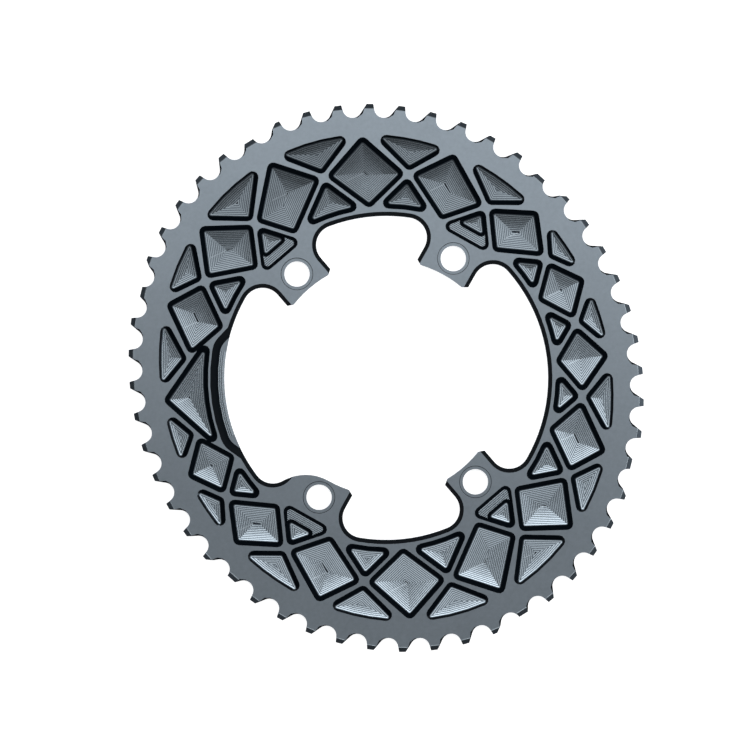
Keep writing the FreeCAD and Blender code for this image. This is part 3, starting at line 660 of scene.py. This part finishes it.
class RingModel:
    """The visual ring, made from the CAD node's faces."""

    def __init__(self, node, settings):
        self.settings = settings
        self.mesh = bmesh.new()
        self.mesh.from_mesh(node.data)
        bmesh.ops.remove_doubles(self.mesh, verts=self.mesh.verts, dist=WELD)
        self.mesh.normal_update()
        self.top = max(vert.co.z for vert in self.mesh.verts)

    def level_faces(self, depth):
        """Level faces at a depth below the outer face."""
        return [
            face
            for face in self.mesh.faces
            if face.normal.z > LEVEL_UP and abs(self.top - depth - face.calc_center_median().z) < SAME_LEVEL
        ]

    def floor_faces(self):
        """Faces of the pocket floors, which slope a little."""
        limit = self.top * FLOOR_SHARE + SAME_LEVEL
        return [
            face
            for face in self.mesh.faces
            if FLOOR_UP < face.normal.z < LEVEL_UP and face.calc_center_median().z < limit
        ]

    def ledge_faces(self):
        """The ledge of the crank arm notch."""
        limit = self.top * LEDGE_SHARE
        return [
            face
            for face in self.mesh.faces
            if face.normal.z > LEVEL_UP and face.calc_center_median().z < limit
        ]

    def carve_floors(self):
        """Give every pocket floor the cutter's strips."""
        for group in islands(self.floor_faces()):
            corners, height = outline(group)
            bmesh.ops.delete(self.mesh, geom=group, context="FACES_ONLY")
            for strip, slot in floor_strips(FloorPlan(corners), self.settings):
                verts = [self.mesh.verts.new((x, y, height - depth)) for x, y, depth in strip]
                self.mesh.faces.new(verts).material_index = slot
        bmesh.ops.remove_doubles(self.mesh, verts=self.mesh.verts, dist=WELD)
        bmesh.ops.dissolve_degenerate(self.mesh, edges=self.mesh.edges, dist=WELD)
        self.mesh.normal_update()

    def split(self, faces, place, normal):
        """Cut faces along a plane. Returns all their parts."""
        geometry = dict.fromkeys(faces)
        for face in faces:
            geometry.update(dict.fromkeys((*face.edges, *face.verts)))
        cut = bmesh.ops.bisect_plane(
            self.mesh, geom=list(geometry), dist=WELD, plane_co=place, plane_no=normal
        )
        return [item for item in cut["geom"] if isinstance(item, bmesh.types.BMFace)]

    def stripes(self, faces, normal, start, end):
        """Passes of the cutter across level faces, square to a direction, with a dark line between passes."""
        step = self.settings.pitch / 2
        for number in range(round((end - start) / step) + 1):
            faces = self.split(faces, normal * (start + number * step), normal)
        for face in faces:
            number = math.floor((normal.dot(face.calc_center_median()) - start) / step)
            inside = number * step < end - start
            face.material_index = LINE_SLOT if number % 2 and inside else FLOOR_SLOT

    def stripe_tab_level(self, direction):
        """Passes on the upper level of the pocket beside a bolt tab."""
        normal = Vector((math.cos(direction), math.sin(direction), 0))
        near = [
            face
            for face in self.level_faces(self.settings.step_depth)
            if face.calc_center_median().normalized().dot(normal) > TAB_SHARE
        ]
        if not near:
            raise RuntimeError("No upper level was found beside a bolt tab")
        # A band along the level's edge is painted near-black as shade, in place of a fillet.
        rim = bmesh.ops.inset_region(
            self.mesh, faces=near, thickness=self.settings.step_rim_shade, use_even_offset=True
        )
        for face in rim["faces"]:
            face.material_index = PAINTED_SHADE_SLOT
        places = [normal.dot(vert.co) for face in near for vert in face.verts]
        self.stripes(near, normal, min(places), max(places))

    def stripe_ledge(self):
        """Passes on the crank arm notch's ledge, which follow its wall."""
        ledge = self.ledge_faces()
        if not ledge:
            raise RuntimeError("No ledge was found under the crank arm notch")
        places = [vert.co for face in ledge for vert in face.verts]
        reach = max(place.xy.length for place in places)
        wall = [place for place in places if place.xy.length > reach - SAME_LEVEL]
        angles = sorted({round(round_angle(place), ANGLE_DIGITS) for place in wall})
        for angle in angles:
            ledge = self.split(ledge, Vector((0, 0, 0)), Vector((-math.sin(angle), math.cos(angle), 0)))
        for first, second in zip(angles, angles[1:]):
            middle = (first + second) / 2
            normal = Vector((math.cos(middle), math.sin(middle), 0))
            near = [
                face
                for face in ledge
                if face.is_valid and first < round_angle(face.calc_center_median()) < second
            ]
            edge = reach * math.cos((second - first) / 2)
            self.stripes(near, -normal, -edge, -edge + LEDGE_PASSES * self.settings.pitch)

    def bevel(self, edges, width, slot):
        """A narrow bevel along edges, with its own material."""
        made = bmesh.ops.bevel(self.mesh, geom=edges, offset=width, segments=1, affect="EDGES")
        for face in made["faces"]:
            face.material_index = slot

    def finish_tips(self):
        """Painted shade on the tooth tips' bevels, and a narrow real bevel where they start, in bright floor
        metal as a painted highlight.
        """
        for face in self.mesh.faces:
            if TIP_UP < face.normal.z < FLOOR_UP:
                face.material_index = TIP_SLOT
        edges = [
            edge
            for edge in self.mesh.edges
            if all(vert.co.z > self.top - WELD for vert in edge.verts)
            and any(face.material_index == TIP_SLOT for face in edge.link_faces)
        ]
        # The bright floor metal on this narrow bevel is a painted highlight.
        self.bevel(edges, self.settings.tip_highlight_edge, FLOOR_SLOT)

    def bevel_bolt_seats(self, places):
        """A narrow bevel round each counterbore, painted near-black as shade."""
        for place in places:
            near = {
                vert
                for vert in self.mesh.verts
                if abs(vert.co.z - self.top) < WELD and (vert.co.xy - place).length < self.settings.seat_reach
            }
            edges = [edge for edge in self.mesh.edges if near.issuperset(edge.verts)]
            self.bevel(edges, self.settings.seat_bevel, PAINTED_SHADE_SLOT)

    def mark_edges(self):
        """Smooth shading, with sharp edges where faces meet at an angle."""
        for face in self.mesh.faces:
            face.smooth = True
        for edge in self.mesh.edges:
            if len(edge.link_faces) != 2:
                edge.smooth = False
                continue
            first, second = edge.link_faces
            slots = {first.material_index, second.material_index}
            both_floor = slots <= {FLOOR_SLOT, LINE_SLOT}
            limit = self.settings.floor_crease if both_floor else self.settings.crease
            bend = first.normal.angle(second.normal, math.pi)
            edge.smooth = (both_floor or len(slots) == 1) and bend < limit

    def paint(self):
        """Near-black painted shade on the sloping cuts of the outer side."""
        for face in self.mesh.faces:
            if face.material_index == FACE_SLOT and CUT_UP < face.normal.z < FLOOR_UP:
                face.material_index = PAINTED_SHADE_SLOT

    def data(self, name):
        """The finished mesh."""
        data = bpy.data.meshes.new(name)
        self.mesh.to_mesh(data)
        self.mesh.free()
        return data


def ring_materials(finish):
    """The ring's materials, in the order of their places."""
    # Painted light on the face, lighter along Y, and painted shade on the floors, darker along Y.
    face_painted_light = Vector((0, finish.face_painted_light / MM, 0))
    floor_painted_shade = Vector((0, -finish.floor_painted_shade / MM, 0))
    floor = {"metallic": 1.0, "grain": MACHINED_GRAIN, "coarse": 4.0, "bump": 0.02, "painted_light": floor_painted_shade}
    return (
        metal(
            "anodised_face", finish.face_colour, finish.face_rough, metallic=0.85, grain=ANODISED_GRAIN,
            coarse=30.0, bump=0.15, painted_light=face_painted_light,
        ),
        # Near-black painted shade for the walls, bevels and other cuts.
        metal(
            "painted_shade_cut", finish.cut_shade_colour, finish.cut_shade_rough, metallic=0.0, grain=ANODISED_GRAIN,
            coarse=60.0, bump=0.05, specular=0.03,
        ),
        metal("machined_floor", finish.floor_colour, finish.floor_rough, **floor),
        metal("floor_line", finish.line_colour, finish.floor_rough, **floor),
        # The tooth tips' bevels, darkened as painted shade.
        metal(
            "shaded_tooth_tip", finish.tip_shade_colour, finish.tip_rough, metallic=0.85, grain=ANODISED_GRAIN,
            coarse=30.0, bump=0.1,
        ),
    )


class CHAINRING_OT_ring(Operator):
    """Build the machined ring with its pocket floors"""

    bl_idname = "chainring.build_ring"
    bl_label = "Machined ring"

    def execute(self, context):
        """Make the ring from its CAD node."""
        settings = context.scene.chainring_ring
        finish = context.scene.chainring_finish
        model = RingModel(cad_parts[RING_NODE], settings)
        model.carve_floors()
        directions = [
            math.pi / 2 + sign * settings.hole_angle + turn for turn in (0, math.pi) for sign in (1, -1)
        ]
        for direction in directions:
            model.stripe_tab_level(direction)
        model.stripe_ledge()
        model.finish_tips()
        holes = [Vector((math.cos(turn), math.sin(turn))) * settings.bolt_radius for turn in directions]
        model.bevel_bolt_seats(holes)
        model.mesh.normal_update()
        model.paint()
        model.mark_edges()
        ring = bpy.data.objects.new("machined_ring", model.data("machined_ring"))
        context.scene.collection.objects.link(ring)
        for material in ring_materials(finish):
            ring.data.materials.append(material)
        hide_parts(RING_NODE)
        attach(ring, "root")
        return {"FINISHED"}


class CHAINRING_OT_pins(Operator):
    """Give the shift pins their steel"""

    bl_idname = "chainring.finish_pins"
    bl_label = "Shift pins"

    def execute(self, context):
        """Put one steel on every pin of the CAD frame."""
        finish = context.scene.chainring_finish
        steel = metal(
            "pin_steel", finish.steel_colour, finish.steel_rough, metallic=1.0, grain=TURNED_GRAIN,
            coarse=200.0, bump=0.1,
        )
        pins = [item for name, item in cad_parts.items() if name.startswith(PIN_NODES)]
        if not pins:
            raise RuntimeError("The CAD frame has no shift pins")
        for pin in pins:
            pin.data.materials.clear()
            pin.data.materials.append(steel)
        return {"FINISHED"}


def softbox(scene, name, power, size, place, turn):
    """A flat lamp of some width and height."""
    data = bpy.data.lights.new(name, "AREA")
    data.shape = "RECTANGLE"
    data.energy = power
    data.size, data.size_y = size
    lamp = bpy.data.objects.new(name, data)
    lamp.location = place
    lamp.rotation_euler = turn
    scene.collection.objects.link(lamp)


def picture_axes(settings):
    """The picture's directions to the right and up."""
    right = Vector((math.cos(settings.turn), -math.sin(settings.turn), 0))
    up = Vector((math.sin(settings.turn), math.cos(settings.turn), 0))
    return right, up


def upper_lamps(scene, settings):
    """Level lamps above the ring, which light its outer face."""
    right, _ = picture_axes(settings)
    rise = Vector((0, 0, settings.lamp_height))
    side = settings.lamp_turn + math.radians(90) - settings.turn
    away = Vector((math.cos(side), math.sin(side), 0))
    middle = right * settings.lamp_shift + rise
    turn = (0, 0, side)
    main_size = (settings.main_depth, settings.lamp_width)
    low_size = (settings.low_depth, settings.lamp_width)
    side_size = (settings.side_size, settings.side_size)
    softbox(scene, "main_lamp", settings.main_power, main_size, middle + away * settings.main_place, turn)
    softbox(scene, "low_lamp", settings.low_power, low_size, middle + away * settings.low_place, turn)
    softbox(scene, "side_lamp", settings.side_power, side_size, right * settings.side_place + rise, turn)


def rim_lamps(scene, settings):
    """Upright lamps round the ring, which light it for a view from the side."""
    size = (settings.rim_width, settings.rim_height)
    for index in range(settings.rim_count):
        angle = math.tau * (index + 0.5) / settings.rim_count
        across = Vector((math.cos(angle), math.sin(angle), 0)) * settings.rim_place
        place = across + Vector((0, 0, settings.rim_rise))
        turn = (-place).to_track_quat("-Z", "Y").to_euler()
        softbox(scene, f"rim_lamp_{index + 1}", settings.rim_power, size, place, turn)


def floor_material(settings):
    """White floor that glows for the camera and in the metal, and takes the ring's shadow."""
    shading = Shading("white_floor")
    rays = shading.node("ShaderNodeLightPath")
    seen = (
        shading.out(rays, "Is Camera Ray")
        + shading.out(rays, "Is Glossy Ray")
        + shading.out(rays, "Is Transmission Ray")
    )
    lit = shading.node("ShaderNodeBsdfPrincipled", None, {"Base Color": GROUND_COLOUR, "Roughness": 1.0})
    glow = shading.node("ShaderNodeEmission", None, {"Color": WHITE, "Strength": settings.floor_glow})
    shown = shading.node("ShaderNodeMixShader", None, {"Fac": seen, 2: shading.out(glow, "Emission")})
    both = shading.node(
        "ShaderNodeAddShader", None, {0: shading.out(lit, "BSDF"), 1: shading.out(shown, "Shader")}
    )
    return shading.finish(shading.out(both, "Shader"))


def place_camera(scene, settings):
    """Camera above the ring, turned and shifted as in the photo."""
    right, up = picture_axes(settings)
    data = bpy.data.cameras.new("camera")
    data.lens = settings.lens
    data.sensor_width = settings.sensor
    data.clip_end = CAMERA_REACH
    camera = bpy.data.objects.new("camera", data)
    height = frame_bounds[1].z + settings.width * settings.lens / settings.sensor
    camera.location = right * settings.shift_x + up * settings.shift_y + Vector((0, 0, height))
    camera.rotation_euler = (0, 0, -settings.turn)
    scene.collection.objects.link(camera)
    scene.camera = camera


def lay_floor(context, settings):
    """White floor just below the ring."""
    bpy.ops.mesh.primitive_plane_add(size=GROUND_SIZE, location=(0, 0, -GROUND_GAP))
    floor = context.object
    floor.name = "floor"
    floor.data.materials.append(floor_material(settings))


def light_world(scene, settings):
    """A grey world, and colours that are shown as they are."""
    world = bpy.data.worlds.new("world")
    world.use_nodes = True
    background = world.node_tree.nodes["Background"]
    background.inputs["Color"].default_value = (settings.world, settings.world, settings.world, 1)
    scene.world = world
    scene.view_settings.view_transform = "Standard"


class CHAINRING_OT_stage(Operator):
    """Make the camera, the lamps and the floor"""

    bl_idname = "chainring.build_stage"
    bl_label = "Stage"

    def execute(self, context):
        """Look down on the ring as the photo does."""
        scene = context.scene
        settings = scene.chainring_stage
        place_camera(scene, settings)
        lay_floor(context, settings)
        upper_lamps(scene, settings)
        rim_lamps(scene, settings)
        light_world(scene, settings)
        return {"FINISHED"}


class CHAINRING_PT_panel(Panel):
    """Pieces of the chainring in the sidebar"""

    bl_idname = "CHAINRING_PT_panel"
    bl_label = "Chainring"
    bl_space_type = "VIEW_3D"
    bl_region_type = "UI"
    bl_category = "Chainring"

    def draw(self, context):
        """List the operators."""
        for operator in OPERATORS:
            self.layout.operator(operator.bl_idname)


OPERATORS = (CHAINRING_OT_ring, CHAINRING_OT_pins, CHAINRING_OT_stage)
SETTINGS = {
    "chainring_ring": RingSettings,
    "chainring_finish": FinishSettings,
    "chainring_stage": StageSettings,
}
CLASSES = (*SETTINGS.values(), *OPERATORS, CHAINRING_PT_panel)


def register():
    """Add the classes and settings to Blender."""
    for item in CLASSES:
        bpy.utils.register_class(item)
    for name, kind in SETTINGS.items():
        setattr(bpy.types.Scene, name, PointerProperty(type=kind))


def unregister():
    """Take them out again."""
    for name in SETTINGS:
        delattr(bpy.types.Scene, name)
    for item in reversed(CLASSES):
        bpy.utils.unregister_class(item)


def main():
    """Make every piece, then the stage."""
    register()
    bpy.ops.chainring.build_ring()
    bpy.ops.chainring.finish_pins()
    bpy.ops.chainring.build_stage()


if __name__ == "__main__":
    main()
